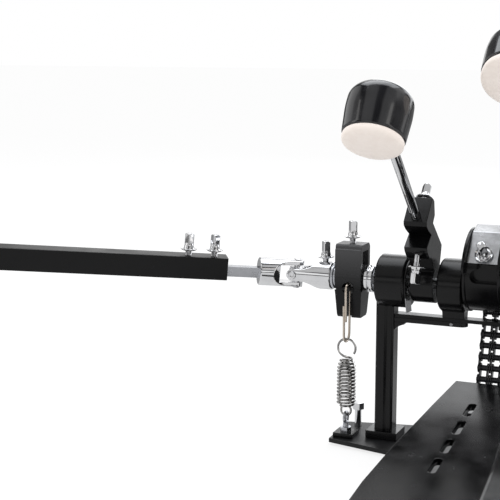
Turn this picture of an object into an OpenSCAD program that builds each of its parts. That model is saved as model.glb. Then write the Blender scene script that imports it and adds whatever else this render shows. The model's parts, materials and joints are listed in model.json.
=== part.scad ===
// Bass drum pedal: the right-foot unit of a double pedal, with two beaters.
// X runs to the drummer's right, Y towards the drum, Z up.
// The cam is centred on X = 0, both axles lie on Y = 0, and the floor is Z = 0.
// The left beater's axle is turned by a drive shaft, the right beater's by the chain and footboard.

/* [Frame] */
// Height of the axle line above the floor
axle_z = 145; // [144:1:150]
// Thickness of the steel base plate
plate_t = 4; // [3:0.5:5]
// Thickness of the rubber strips under the base plate
pad_t = 2; // [1.5:0.5:3]
// Outer radius of the bearing housings
housing_r = 22.5; // [22:0.5:23]

/* [Beaters] */
// Tilt of the left beater at rest, towards the drummer, in degrees
left_tilt = 48; // [44:1:50]
// Tilt of the right beater at rest, in degrees
right_tilt = 28; // [24:1:32]
// Diameter of the beater rods
rod_d = 8; // [7:0.5:8.5]
// Distance from the axle to the middle of the beater head
head_v = 204.5; // [195:0.5:210]
// Diameter of the beater heads
head_d = 48; // [44:1:52]

/* [Footboard] */
// Width of the footboard at the toe
toe_w = 51.4; // [46:0.2:54]
// Width of the footboard at the heel
heel_w = 86; // [76:1:90]
// Distance from the axle line back to the heel hinge
heel_y = 245; // [235:1:255]

/* [Drive shaft] */
// Swing of the shaft towards the drummer, in degrees
shaft_yaw = 32; // [24:1:33]
// Rise of the shaft towards its far end, in degrees
shaft_rise = 5; // [0:0.5:6]
// Outer width of the square shaft tube
tube_w = 19.6; // [19.6:0.2:21]
// Length of the square shaft tube
tube_len = 320; // [260:10:340]

/* [Chain] */
// Distance between two chain pins
pitch = 9.525; // [9.4:0.005:9.6]
// Radius of the pin line where the chain wraps the cam
wrap_r = 36; // [35.5:0.1:36.5]

/* [Hidden] */
$fn = 48;
fit = 0.05;                     // radial clearance of a pin in its bore
axle_r = 5;
plate_z = pad_t + plate_t;      // top of the base plate
bearing_r = 13;
bearing_w = 8;
cap_t = 1.2;

// Stations along the axle line, left to right
ujoint_x = -174.6;
yoke_end_x = -140;
yoke_bolt_x = -147.5;
rocker_w = 23.9;
rocker_top = 30.2;
slot_w = 2.1;                   // half the width of the slot in the rocker's foot
slot_top = -2;                  // the slot ends this far below the axle, clear of the ring's round top
left_rocker_x = -122.9;
left_collar_x = [-110.1, -101.4];
left_house_x = [-96.9, -70.6];
left_hub_x = -56.7;
hub_w = 19.7;
hub_r = 16.6;
centre_house_x = [-42.4, -20.4];
flange_x = [13.3, 15.7];        // inner and outer face of each cam flange
right_hub_x = 32;
right_house_x = [48, 74.3];
right_collar_x = [78.8, 87.5];
right_rocker_x = 100.2;
post_w = 15.7;
left_post_x = left_house_x[0] + post_w / 2 - 1.8;
right_post_x = right_house_x[1] - post_w / 2 + 1.8;
bar_z = axle_z - 28;            // top of the crossbar
bar_y = [-4.5, 7];
bar_t = 3.2;

// Beater rod in the hub's own frame
rod_w = 22;
rod_v = 50;
head_turn = 8;                  // the head leans this much further than its rod
head_front = -24;               // from the rod's line to the felt's back face
pinch_at = [0.5, 38.8];         // where the lower hub bolt enters, and its slope
pinch_slope = 25;

// Link rings and springs, in [Y, Z]
pin_at = [-10.1, -8.5];         // rocker cross pin, from the axle
pin_wire = 2.2;                 // radius of that pin
ring_y = -12.6;
ring_top = axle_z - 2.6;
ring_len = 53;
ring_wire = 2.2;
ring_w = 14.6;
hook_r = 8;
spring_top = axle_z - 70;
spring_bottom = 32;
spring_wire = 2;
eye_z = 17;
spur_x = [-122, 102];

// Cam and chain in the Y, Z plane, measured from the axle
cam_c = [-10, 14];
cam_r = 37.6;
rim_r = 31.3;
cam_hub_r = 16;
run_links = 10;
wrap_links = 6;
toe_dy = 6;
run_len = run_links * pitch;
toe_pin = cam_c + [toe_dy, -sqrt(wrap_r * wrap_r + run_len * run_len - toe_dy * toe_dy)];
link_turn = 2 * asin(pitch / 2 / wrap_r);
leave_angle = atan2(toe_pin[1] - cam_c[1], toe_pin[0] - cam_c[0])
    + acos(wrap_r / norm(toe_pin - cam_c));
strand = 5.05;
plate_r = 4.2;
link_t = 1.15;
pin_r = 1.8;
roller_r = 2.5;
clevis_play = 1.1;              // the chain swings a little about its straight line as it unwinds
plate_low = [-39.5, 26.8];      // the cam plate's outline: its lower edge, its bend and its upper edge
plate_bend = [-19.5, 49.6];
plate_top = [-6, 54];
cam_plate_t = 1.6;
cam_plate_w = 12.9;             // half its width
cam_screw_at = [0.2, 0.26];     // its screw: along X, and as a share of the way up its slope

// Hoop clamp hinge, seen from the side
jaw_y = 18;
jaw_z = 26;
wing_x = 41;

// Drive shaft, measured from the near universal joint
bar_w = 9;
bar_drop = 0.8;                 // the bar lies this far below the shaft's line
tube_wall = 2.4;
tube_lift = 2;                  // and the tube this far above it
tube_at = 63.3;
yoke_r = 12.3;
yoke_slot = 16.6;               // depth of the fork, from the joint's centre
yoke_neck = 22;                 // where the fork's flare meets the round body
near_yoke_len = 34.7;
yoke_len = 30;
bar_end = 24;
far_x = tube_at + tube_len + yoke_len;
slave_len = 44;
tube_bolt_x = [75, 97.7];
bolt_turn = 38;                 // a key bolt's square head is turned by this much

// Bolts and screws
key_bore = 2.9;
key_thread = 2.9;
screw_r = 2;
foot_screw_y = [-322, -268];
bar_screw_x = [-38, 24];        // screws that hold the crossbar to the posts
bar_screw_y = 1;
lug_screw_x = [-33, 19];        // small screws on the front of the lugs
lug_screw_r = 0.8;
lug_end_x = [-25.5, 11.5];
lug_t = 4;                      // thickness of the lug under the crossbar
lug_z = bar_z - bar_t - lug_t;

// Footboard, built flat from its hinge and then raised
hinge_z = 24;
hinge_y = -heel_y;
board_t = 6;
board_len = heel_y - 8;
board_rise = 8.1;

function wrap_pin(k) = cam_c + wrap_r * [cos(leave_angle + k * link_turn), sin(leave_angle + k * link_turn)];
function chain_pin(k) = k >= 0 ? wrap_pin(k) : wrap_pin(0) + (toe_pin - wrap_pin(0)) * (-k) / run_links;

// ---------- shared shapes ----------

// Extrudes a Y, Z outline from x0 to x1
module along_x(x0, x1) {
    translate([x0, 0, 0]) rotate([90, 0, 90]) linear_extrude(x1 - x0) children();
}

// A round bar along X
module bar_x(x0, x1, r) {
    translate([x0, 0, 0]) rotate([0, 90, 0]) cylinder(h = x1 - x0, r = r);
}

// A round bar along X with chamfered ends
module chamfered_x(x0, x1, r, c) {
    translate([x0, 0, 0]) rotate([0, 90, 0]) rotate_extrude()
        polygon([[0, 0], [r - c, 0], [r, c], [r, x1 - x0 - c], [r - c, x1 - x0], [0, x1 - x0]]);
}

module at_axle() {
    translate([0, 0, axle_z]) children();
}

// The beater hub's own frame: Z along the beater rod, Y towards the drum
module hub_frame(x, tilt) {
    at_axle() translate([x, 0, 0]) rotate([tilt, 0, 0]) children();
}

module left_shaft_frame() {
    at_axle() translate([ujoint_x, 0, 0]) rotate([0, shaft_rise, 0]) rotate([0, 0, shaft_yaw]) children();
}

// A square-head bolt for a drum key: Z = 0 is the surface it enters, threads show below the flange
module key_bolt(grip, exposed, turn = 0) {
    base = exposed + 2;
    rotate_extrude() polygon([[0, -grip], [key_thread, -grip], [key_thread, exposed], [4.6, exposed], [7.1, exposed + 0.8],
        [7.1, exposed + 1.6], [4.6, base + 0.7], [4.1, base + 2.4], [2.8, base + 5], [0, base + 5]]);
    rotate([0, 0, turn]) intersection() {
        translate([-3, -3, base]) cube([6, 6, 13]);
        rotate_extrude() polygon([[0, base], [4.1, base], [4.1, base + 12], [3.2, base + 13], [0, base + 13]]);
    }
}

// Two round bars side by side make a closed wire loop in the X = 0 plane, hanging down from Z = 0
module wire_loop(width, length, wire) {
    r = width / 2 - wire / 2;
    straight = length - width;
    translate([0, 0, -width / 2]) {
        for (side = [-1, 1])
            translate([0, side * r, -straight]) cylinder(h = straight, r = wire / 2);
        rotate([90, 0, 90]) rotate_extrude(angle = 180) translate([r, 0]) circle(wire / 2);
        translate([0, 0, -straight]) rotate([90, 0, 90])
            rotate([0, 0, 180]) rotate_extrude(angle = 180) translate([r, 0]) circle(wire / 2);
    }
}

// ---------- base ----------

module base_plate() {
    color("dimgray") difference() {
        translate([0, 0, pad_t]) linear_extrude(plate_t) union() {
            polygon([[-134, -26], [-42, -48], [-42, -330], [42, -330], [42, -48], [114, -26],
                [114, 28], [60, 44], [-60, 44], [-134, 28]]);
            translate([-40, 40]) square([80, 24]);
        }
        for (x = spur_x)
            translate([x, 18, 0]) cylinder(h = 20, r = 3 + fit);
    }
}

module grip_strips() {
    color("black") {
        for (x = [-38, 26])
            translate([x, -326, 0]) cube([12, 280, pad_t]);
        for (x = [-131, 92])
            translate([x, -20, 0]) cube([20, 28, pad_t]);
        translate([-36, -40, 0]) cube([72, 50, pad_t]);
    }
}

// Cross-section of a post, with the ridge and valley down its front
module post_outline(flip) {
    mirror([flip, 0]) polygon([[-7.85, -6.5], [-6.5, -8], [0, -8], [1.8, -7.1], [3.6, -6.8], [5.2, -7.2], [6.6, -6.9],
        [7.85, -5.6], [7.85, 7.4], [6.4, 8.8], [-6.4, 8.8], [-7.85, 7.4]]);
}

// A post with its bearing housing, its foot and the lug that carries the crossbar
module post(x, flip, house, lug_x, screw_x, set_screw_x) {
    color("black") difference() {
        union() {
            translate([x, 0, plate_z + 6]) linear_extrude(axle_z - housing_r - plate_z) post_outline(flip);
            translate([x - 14, -13, plate_z]) cube([28, 26, 7]);
            at_axle() chamfered_x(house[0], house[1], housing_r, 1.6);
            along_x(min(x, lug_x), max(x, lug_x))
                translate([bar_screw_y - 5.5, lug_z]) square([11, lug_t]);
            translate([lug_x, bar_screw_y, lug_z]) cylinder(h = lug_t, r = 5.5);
            gusset(x, flip);
        }
        at_axle() bar_x(house[0] - 1, house[1] + 1, bearing_r);
        translate([screw_x, bar_screw_y, bar_z - 20]) cylinder(h = 30, r = screw_r + fit);
        translate([set_screw_x, bar_y[0] + 3, lug_z + lug_t / 2]) rotate([90, 0, 0]) cylinder(h = 5, r = lug_screw_r + fit);
    }
}

// Curved web between the post and the lug that it carries
module gusset(x, flip) {
    reach = 9.5;
    depth = 19;
    scoop = 16;
    side = flip ? -1 : 1;
    translate([x + side * 7.5, 4, lug_z]) mirror([flip, 0, 0]) rotate([90, 0, 0])
        linear_extrude(8) difference() {
            polygon([[-1, 0], [reach, 0], [reach, -1], [-1, -depth]]);
            translate([reach + 3, -scoop - 1.6]) circle(scoop);
        }
}

module left_post() {
    post(left_post_x, 0, left_house_x, lug_end_x[0], bar_screw_x[0], lug_screw_x[0]);
}

module right_post() {
    post(right_post_x, 1, right_house_x, lug_end_x[1], bar_screw_x[1], lug_screw_x[1]);
}

module crossbar() {
    color("black") difference() {
        along_x(left_post_x + post_w / 2, right_post_x - post_w / 2)
            translate([bar_y[0], bar_z - bar_t]) square([bar_y[1] - bar_y[0], bar_t]);
        for (x = bar_screw_x)
            translate([x, bar_screw_y, bar_z - 20]) cylinder(h = 30, r = screw_r + fit);
    }
}

module centre_housing() {
    color("black") difference() {
        union() {
            at_axle() chamfered_x(centre_house_x[0], centre_house_x[1], housing_r, 1.6);
            along_x(centre_house_x[0] + 1.5, centre_house_x[1] - 1.5)
                polygon([[bar_y[0], bar_z], [bar_y[1], bar_z], [bar_y[1] + 3, axle_z - 16], [bar_y[0] - 3, axle_z - 16]]);
        }
        at_axle() bar_x(centre_house_x[0] - 1, centre_house_x[1] + 1, bearing_r);
    }
}

// A pan-head screw standing on Z = 0
module pan_screw(length, r) {
    rotate_extrude() polygon([[0, -length], [r, -length], [r, 0], [2 * r, 0], [2 * r, r * 0.5], [r * 1.3, r], [0, r]]);
}

module frame_screws() {
    color("silver") {
        for (x = bar_screw_x)
            translate([x, bar_screw_y, lug_z + 0.2]) cylinder(h = lug_t + bar_t - 0.4, r = screw_r);
        for (x = lug_screw_x)
            translate([x, bar_y[0], lug_z + lug_t / 2]) rotate([90, 0, 0]) pan_screw(2.5, lug_screw_r);
        cap_lock(left_house_x[1] + cap_t);
        mirror([1, 0, 0]) cap_lock(cap_t - right_house_x[0]);
        for (x = [-32, 32], y = foot_screw_y)
            translate([x, y, hinge_z + 2]) pan_screw(6, screw_r);
    }
}

// The tab and the screw that lock a bearing cap, on the face at x
module cap_lock(x) {
    at_axle() {
        along_x(x, x + 1) polygon([[-20, -11], [-6, -13], [-2, -25], [-16, -24]]);
        translate([x, -12.2, -6.2]) rotate([0, 90, 0]) pan_screw(cap_t - 0.1, 1.2);
    }
}

module axle_bearings() {
    color("silver") at_axle()
        for (x = [left_house_x[0] + 0.4, left_house_x[1] - 8.4, centre_house_x[0] + 0.4, centre_house_x[1] - 8.4,
                right_house_x[0] + 0.4, right_house_x[1] - 8.4])
            difference() {
                bar_x(x, x + bearing_w, bearing_r);
                bar_x(x - 1, x + bearing_w + 1, axle_r + fit);
            }
}

module bearing_caps() {
    color("gray") at_axle()
        for (x = [left_house_x[1], right_house_x[0] - cap_t])
            difference() {
                bar_x(x, x + cap_t, 20.5);
                bar_x(x - 1, x + 3, 8);
                translate([0, -12.2, -6.2]) bar_x(x - 1, x + 3, 1.2 + fit);
            }
}

module hinge_pins() {
    color("silver") {
        translate([0, hinge_y, hinge_z]) bar_x(-heel_w / 2 + 2, heel_w / 2 - 2, 3);
        translate([0, 18, 26]) bar_x(-23, 23, 3);
    }
}

module heel_plate() {
    color("black") difference() {
        union() {
            translate([-heel_w / 2 + 1, -328, plate_z]) linear_extrude(hinge_z + 2 - plate_z)
                polygon([[0, 0], [heel_w - 2, 0], [heel_w - 2, 74], [0, 74]]);
            for (x = [-heel_w / 2 + 2, heel_w / 2 - 12])
                translate([0, hinge_y, hinge_z]) bar_x(x, x + 10, 6);
            for (x = [-heel_w / 2 + 2, heel_w / 2 - 12])
                translate([x, hinge_y - 12, plate_z]) cube([10, 15, hinge_z - plate_z]);
        }
        translate([-heel_w / 2 + 11, -318, plate_z - 1]) cube([heel_w - 22, 56, 15]);
        translate([0, hinge_y, hinge_z]) bar_x(-60, 60, 3);
        for (x = [-32, 32], y = foot_screw_y)
            translate([x, y, hinge_z - 6]) cylinder(h = 20, r = screw_r);
    }
}

module spring_brackets() {
    color("black")
        for (x = [left_rocker_x, right_rocker_x])
            difference() {
                translate([x - 9, ring_y - 9, plate_z]) cube([18, 18, 4]);
                translate([x, ring_y, plate_z - 1]) cylinder(h = 8, r = 2.5 + fit);
            }
}

// A threaded eye with a nut above the bracket
module spring_adjusters() {
    color("silver")
        for (x = [left_rocker_x, right_rocker_x])
            translate([x, ring_y, 0]) {
                translate([0, 0, plate_z + 0.1]) cylinder(h = eye_z + 1.5 - plate_z, r = 2.5);
                translate([0, 0, eye_z + 5.5]) rotate([0, 90, 0]) rotate_extrude() translate([4.5, 0]) circle(1.4);
                difference() {
                    translate([0, 0, plate_z + 4]) cylinder(h = 4, r = 5, $fn = 6);
                    translate([0, 0, plate_z]) cylinder(h = 10, r = 2.5);
                }
            }
}

// ---------- hoop clamp ----------

module clamp_bracket() {
    color("black") difference() {
        for (x = [-23, 17])
            translate([x, jaw_y - 8, plate_z]) cube([6, 16, jaw_z + 6 - plate_z]);
        translate([0, jaw_y, jaw_z]) bar_x(-30, 30, 3);
    }
}

module clamp_jaw() {
    color("black") difference() {
        union() {
            translate([-16.7, jaw_y - 6, jaw_z - 5]) cube([33.4, 44, 10]);
            translate([-30, jaw_y + 24, jaw_z - 5]) cube([60, 20, 8]);
            translate([-16.7, jaw_y - 28, jaw_z - 2]) cube([33.4, 24, 6]);
            translate([10, jaw_y - 36, jaw_z - 2]) cube([38, 16, 6]);
        }
        translate([0, jaw_y, jaw_z]) bar_x(-30, 30, 3 + fit);
        translate([wing_x, jaw_y - 28, jaw_z - 10]) cylinder(h = 30, r = 3 + fit);
    }
}

module jaw_pads() {
    color("dimgray") translate([-28, jaw_y + 26, jaw_z - 7.5]) cube([56, 16, 2.5]);
}

module clamp_wing_screw() {
    color("silver") translate([wing_x, jaw_y - 28, 0]) {
        translate([0, 0, plate_z + 0.3]) cylinder(h = jaw_z + 14 - plate_z, r = 3);
        translate([0, 0, jaw_z + 8]) cylinder(h = 8, r = 5.5);
        for (side = [0, 180])
            rotate([0, 0, side + 20]) translate([4, -1.5, jaw_z + 9]) rotate([90, 0, 0])
                translate([0, 0, -3]) linear_extrude(3)
                    polygon([[0, 0], [6, 2], [10, 8], [7.5, 12], [4, 8], [0, 6]]);
    }
}

module floor_spurs() {
    color("silver")
        for (x = spur_x)
            translate([x, 18, 0]) {
                rotate_extrude() polygon([[0, 0.4], [2.9, 5], [3, 6], [3, 24], [0, 24]]);
                translate([0, 0, 22]) cylinder(h = 6, r = 5.5, $fn = 6);
            }
}

// ---------- left drive: everything that turns with the left axle ----------

module left_axle() {
    color("silver") at_axle() bar_x(ujoint_x + 20, (centre_house_x[0] + centre_house_x[1]) / 2 - 0.8, axle_r);
}

module right_axle() {
    color("silver") at_axle() bar_x((centre_house_x[0] + centre_house_x[1]) / 2 + 0.8, right_rocker_x + 17, axle_r);
}

// A universal joint yoke along +X from the joint's centre, with its ears on the Y axis
module yoke(length, bore) {
    difference() {
        union() {
            chamfered_x(yoke_neck, length, yoke_r, 0.8);
            intersection() {
                bar_x(-8, yoke_neck + 1, yoke_r);
                translate([0, 20, 0]) rotate([90, 0, 0]) union() {
                    cylinder(h = 40, r = 5.5);
                    linear_extrude(40) polygon([[0, 5.3], [7, 5.4], [11, 6], [15, 7.4], [19, 9.8], [yoke_neck + 1, yoke_r],
                        [yoke_neck + 1, -yoke_r], [19, -9.8], [15, -7.4], [11, -6], [7, -5.4], [0, -5.3]]);
                }
            }
        }
        translate([-10, -7.6, -15]) cube([10 + yoke_slot, 15.2, 30]);
        rotate([90, 0, 0]) cylinder(h = 40, r = 3.45, center = true);
        bar_x(10, length + 1, bore);
    }
}

module axle_yoke() {
    color("silver") at_axle() difference() {
        translate([ujoint_x, 0, 0]) yoke(yoke_end_x - ujoint_x, axle_r);
        translate([yoke_bolt_x, 0, 6]) cylinder(h = 12, r = key_bore);
    }
}

module axle_washers() {
    color("dimgray") at_axle()
        for (x = [yoke_end_x + 0.1, yoke_end_x + 2.1])
            difference() {
                bar_x(x, x + 1.9, x < yoke_end_x + 1 ? 11 : 9.5);
                bar_x(x - 1, x + 3, axle_r);
            }
}

// The spring rocker: rounded top, slotted foot, side hollow and a keyhole for the cross pin
module rocker(x) {
    w = rocker_w / 2;
    color("black") at_axle() translate([x, 0, 0]) difference() {
        union() {
            along_x(-w, w) polygon([[-13, -2], [-12.4, 25.6], [-11.2, 26.4], [-11.2, 28.4], [-9.5, rocker_top],
                [9, rocker_top], [12, 27], [12, -6], [9.5, -31.7], [7.5, -34.2], [-7.5, -34.2], [-9.6, -31.7]]);
            rotate([0, 90, 0]) cylinder(h = rocker_w, r = 13.6, center = true);
        }
        for (side = [0, 1])
            mirror([side, 0, 0]) translate([0, 20, 0]) rotate([90, 0, 0]) linear_extrude(40)
                polygon([[w, -12], [w + 2, -12], [w + 2, -36], [w - 1.5, -36]]);
        translate([-slot_w, -30, -45]) cube([2 * slot_w, 60, 45 + slot_top]);
        translate([0, -6, -8]) rotate([90, 0, 0]) cylinder(h = 30, r = 5.2);
        translate([w - 4, -8, 11]) cube([10, 15, 13]);
        translate([-w - 6, -8, 11]) cube([10, 15, 13]);
        bar_x(-30, 30, axle_r);
        translate([0, 0, 6]) cylinder(h = 40, r = key_bore);
        translate([0, pin_at[0], pin_at[1]]) bar_x(-w - 1, w + 1, pin_wire);
    }
}

module left_rocker() {
    rocker(left_rocker_x);
}

module right_rocker() {
    rocker(right_rocker_x);
}

module rocker_pin(x) {
    color("silver") at_axle() translate([0, pin_at[0], pin_at[1]])
        bar_x(x - rocker_w / 2 + 1, x + rocker_w / 2 - 1, pin_wire);
}

module left_rocker_pin() {
    rocker_pin(left_rocker_x);
}

module right_rocker_pin() {
    rocker_pin(right_rocker_x);
}

// A round collar with a groove round its middle
module collar(span) {
    w = span[1] - span[0];
    color("silver") at_axle() difference() {
        translate([span[0], 0, 0]) rotate([0, 90, 0]) rotate_extrude()
            polygon([[0, 0], [10.8, 0], [11.8, 1], [11.8, w / 2 - 1], [10.4, w / 2 - 0.5], [10.4, w / 2 + 0.3],
                [11.8, w / 2 + 0.8], [11.8, w - 1], [10.8, w], [0, w]]);
        bar_x(span[0] - 1, span[1] + 1, axle_r);
    }
}

module left_collar() {
    collar(left_collar_x);
}

module right_collar() {
    collar(right_collar_x);
}

// Outline of the beater hub in its own frame, seen along the axle
module hub_outline() {
    polygon([[0.2, 10], [2.7, 23.3], [4.5, 33], [1, 36.5], [1, 45.5], [2.5, 50.1], [18.4, 46.5], [15.5, 57],
        [14.8, 64], [17, 66.8], [42, 66.4], [43.5, 60], [36, 50], [28.4, 49.5], [31, 13], [16.6, 6], [4, 4]]);
}

// Along the lower hub bolt, from the surface that it enters
module pinch_frame() {
    translate([0, pinch_at[0], pinch_at[1]]) rotate([90 + pinch_slope, 0, 0]) children();
}

module beater_hub(x, tilt) {
    color("black") hub_frame(x, tilt) difference() {
        union() {
            along_x(-hub_w / 2, hub_w / 2) hub_outline();
            bar_x(-hub_w / 2, hub_w / 2, hub_r);
        }
        bar_x(-20, 20, axle_r);
        translate([0, rod_w, rod_v]) cylinder(h = 30, r = rod_d / 2);
        translate([0, rod_w + 7, 58]) rotate([-90, 0, 0]) cylinder(h = 20, r = key_bore);
        pinch_frame() cylinder(h = 20, r = key_bore, center = true);
    }
}

module left_beater_hub() {
    beater_hub(left_hub_x, left_tilt);
}

module right_beater_hub() {
    beater_hub(right_hub_x, right_tilt);
}

module beater_rod(x, tilt) {
    length = head_v - rod_v + 8;
    color("silver") hub_frame(x, tilt) translate([0, rod_w, rod_v])
        rotate_extrude() polygon([[0, 0], [rod_d / 2, 0], [rod_d / 2, length - 1], [rod_d / 2 - 1, length],
            [0, length]]);
}

module left_beater_rod() {
    beater_rod(left_hub_x, left_tilt);
}

module right_beater_rod() {
    beater_rod(right_hub_x, right_tilt);
}

// The beater head's own frame: its axis along Y, the rod's line through the origin
module head_frame(x, tilt) {
    hub_frame(x, tilt) translate([0, rod_w, head_v]) rotate([head_turn, 0, 0]) translate([0, head_front, 0]) children();
}

module beater_head(x, tilt) {
    r = head_d / 2;
    color("black") difference() {
        head_frame(x, tilt) rotate([-90, 0, 0]) rotate_extrude()
            polygon([[0, 0], [r - 0.4, 0], [r, 1.6], [r + 1.4, 22], [r + 0.9, 32], [r - 2, 37], [r - 7, 40], [0, 41]]);
        hub_frame(x, tilt) translate([0, rod_w, rod_v]) cylinder(h = head_v - rod_v + 8, r = rod_d / 2);
    }
}

module left_beater_head() {
    beater_head(left_hub_x, left_tilt);
}

module right_beater_head() {
    beater_head(right_hub_x, right_tilt);
}

module beater_felt(x, tilt) {
    r = head_d / 2;
    color("linen") head_frame(x, tilt) rotate([90, 0, 0]) rotate_extrude()
        polygon([[0, 0], [r - 0.7, 0], [r - 0.7, 3.6], [r - 1.5, 5.4], [r - 4, 6.6], [r - 12, 7.6], [0, 8]]);
}

module left_beater_felt() {
    beater_felt(left_hub_x, left_tilt);
}

module right_beater_felt() {
    beater_felt(right_hub_x, right_tilt);
}

// The hub's two bolts and the rocker's bolt
module hub_and_rocker_bolts(hub_x, rocker_x, tilt) {
    hub_frame(hub_x, tilt) {
        translate([0, 42.6, 58]) rotate([-90, 0, 0]) key_bolt(8, 2.6);
        pinch_frame() key_bolt(8, 7.3, bolt_turn);
    }
    at_axle() translate([rocker_x, 0, rocker_top]) key_bolt(10, 4.4, bolt_turn);
}

module left_key_bolts() {
    color("silver") {
        hub_and_rocker_bolts(left_hub_x, left_rocker_x, left_tilt);
        at_axle() translate([yoke_bolt_x, 0, yoke_r]) key_bolt(5, 3, bolt_turn);
    }
}

module right_key_bolts() {
    color("silver") hub_and_rocker_bolts(right_hub_x, right_rocker_x, right_tilt);
}

// ---------- drive shaft ----------

module cross() {
    intersection() {
        cube([12, 12, 12], center = true);
        sphere(8.4);
    }
    rotate([90, 0, 0]) cylinder(h = 25, r = 3.1, center = true);
    cylinder(h = 25, r = 3.1, center = true);
}

module ujoint_cross() {
    color("silver") at_axle() translate([ujoint_x, 0, 0]) rotate([0, shaft_rise, 0]) cross();
}

module shaft_yoke() {
    color("silver") left_shaft_frame() rotate([90, 0, 0]) difference() {
        mirror([1, 0, 0]) yoke(near_yoke_len, 3);
        translate([-near_yoke_len - 1, -bar_w / 2 - bar_drop, -bar_w / 2])
            cube([near_yoke_len + 1 - bar_end, bar_w, bar_w]);
    }
}

module shaft_bar() {
    color("silver") left_shaft_frame()
        translate([-tube_at - 170, -bar_w / 2, -bar_w / 2 - bar_drop]) cube([tube_at + 170 - bar_end, bar_w, bar_w]);
}

// The shaft's frame, raised to the middle of the tube
module tube_frame() {
    left_shaft_frame() translate([0, 0, tube_lift]) children();
}

module shaft_tube() {
    inner = tube_w - 2 * tube_wall;
    color("black") tube_frame() difference() {
        translate([-tube_at - tube_len, -tube_w / 2, -tube_w / 2]) cube([tube_len, tube_w, tube_w]);
        translate([-tube_at - tube_len - 1, -inner / 2, -inner / 2]) cube([tube_len + 2, inner, inner]);
        for (x = tube_bolt_x)
            translate([-x, 0, 0]) cylinder(h = 20, r = key_bore);
    }
}

module tube_key_bolts() {
    color("silver") tube_frame()
        for (x = tube_bolt_x)
            translate([-x, 0, tube_w / 2])
                key_bolt(tube_w / 2 + tube_lift - bar_w / 2 + bar_drop - 0.2, 4, bolt_turn);
}

module tube_yoke() {
    inner = tube_w - 2 * tube_wall;
    color("silver") left_shaft_frame() translate([-far_x, 0, 0]) {
        rotate([90, 0, 0]) yoke(yoke_len, 3);
        translate([yoke_len, -inner / 2 + fit, tube_lift - inner / 2 + fit])
            cube([14, inner - 2 * fit, inner - 2 * fit]);
    }
}

module far_frame() {
    left_shaft_frame() translate([-far_x, 0, 0]) rotate([0, 0, -shaft_yaw]) children();
}

module far_cross() {
    color("silver") far_frame() cross();
}

module slave_yoke() {
    color("silver") far_frame() rotate([0, -shaft_rise, 0]) difference() {
        mirror([1, 0, 0]) yoke(slave_len, axle_r);
        translate([-slave_len + 7, 0, 6]) cylinder(h = 12, r = key_bore);
    }
}

module slave_key_bolt() {
    color("silver") far_frame() rotate([0, -shaft_rise, 0]) translate([-slave_len + 7, 0, yoke_r])
        key_bolt(5, 3, bolt_turn);
}

// ---------- cam and chain ----------

// A flange rises above the rim only where the chain lies on it
module cam_flange(x0, x1) {
    along_x(x0, x1) translate(cam_c) circle(rim_r + 1);
    along_x(x0, x1) intersection() {
        translate(cam_c) circle(cam_r);
        polygon([[-60, 21], cam_c, [50, 4], [50, 60], [-60, 60]]);
    }
}

module cam_wheel() {
    color("black") at_axle() difference() {
        union() {
            cam_flange(-flange_x[1], -flange_x[0]);
            cam_flange(flange_x[0], flange_x[1]);
            translate([0, cam_c[0], cam_c[1]]) bar_x(-flange_x[1] + 1, flange_x[1] - 1, rim_r);
            bar_x(centre_house_x[1] + 1, right_hub_x - hub_w / 2 - 2, cam_hub_r);
        }
        bar_x(-25, 25, axle_r);
        along_x(-cam_plate_w - 0.1, cam_plate_w + 0.1) cam_plate_outline();
        along_x(-flange_x[0], flange_x[0]) polygon([plate_low, plate_bend, plate_bend + [-8, 8], plate_low + [-8, 4]]);
        cam_recess();
    }
}

// A pocket with a rounded end in the rim, under the plate
module cam_recess() {
    translate([-4, -34, 16]) rotate([90, 0, 0]) cylinder(h = 20, r = 5.5);
    translate([-4, -54, 10.5]) cube([17, 20, 16]);
}

module cam_plate_outline() {
    polygon([plate_low, plate_bend, plate_top, plate_top - [-0.4, cam_plate_t],
        plate_bend - [-0.8, cam_plate_t * 1.05], plate_low - [-1.2, 1.1]]);
}

// The bent plate that clamps the chain's end to the cam
module cam_plate() {
    color("silver") at_axle() difference() {
        along_x(-cam_plate_w, cam_plate_w) cam_plate_outline();
        cam_screw_frame() cylinder(h = 12, r = 3, center = true);
    }
}

module cam_screw_frame() {
    rise = plate_bend - plate_low;
    at = plate_low + rise * cam_screw_at[1];
    translate([cam_screw_at[0], at[0], at[1]]) rotate([atan2(rise[1], rise[0]), 0, 0]) children();
}

module cam_plate_screw() {
    color("silver") at_axle() cam_screw_frame() key_bolt(1.4, 0.6, bolt_turn);
}

// One flat link plate between two pins, in the Y, Z plane
module plate_outline(p, q) {
    translate(p) rotate(atan2(q[1] - p[1], q[0] - p[0])) union() {
        circle(plate_r);
        translate([pitch, 0]) circle(plate_r);
        translate([0, -plate_r * 0.72]) square([pitch, plate_r * 1.44]);
    }
}

// One double-strand link from pin k to pin k + 1: even links carry the pins, odd ones the rollers
module chain_link(k) {
    p = chain_pin(k);
    q = chain_pin(k + 1);
    if (k % 2 == 0) {
        for (x = [-10.15, -link_t / 2, 10.15 - link_t])
            along_x(x, x + link_t) plate_outline(p, q);
        for (c = [p, q])
            translate([0, c[0], c[1]]) bar_x(-10.9, 10.9, pin_r);
    } else {
        for (s = [-strand, strand])
            difference() {
                union() {
                    for (x = [s - 3.7, s + 3.7 - link_t])
                        along_x(x, x + link_t) plate_outline(p, q);
                    for (c = [p, q])
                        translate([0, c[0], c[1]]) bar_x(s - 3, s + 3, roller_r);
                }
                for (c = [p, q])
                    translate([0, c[0], c[1]]) bar_x(s - 5, s + 5, pin_r + fit);
            }
    }
}

module chain_wrap() {
    color("black") at_axle() {
        for (k = [2 : wrap_links - 1])
            chain_link(k);
        translate([0, chain_pin(wrap_links)[0], chain_pin(wrap_links)[1]]) bar_x(-12.3, 12.3, pin_r);
    }
}

module chain_link_upper() {
    color("black") at_axle() chain_link(1);
}

module chain_link_lower() {
    color("black") at_axle() chain_link(0);
}

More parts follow.
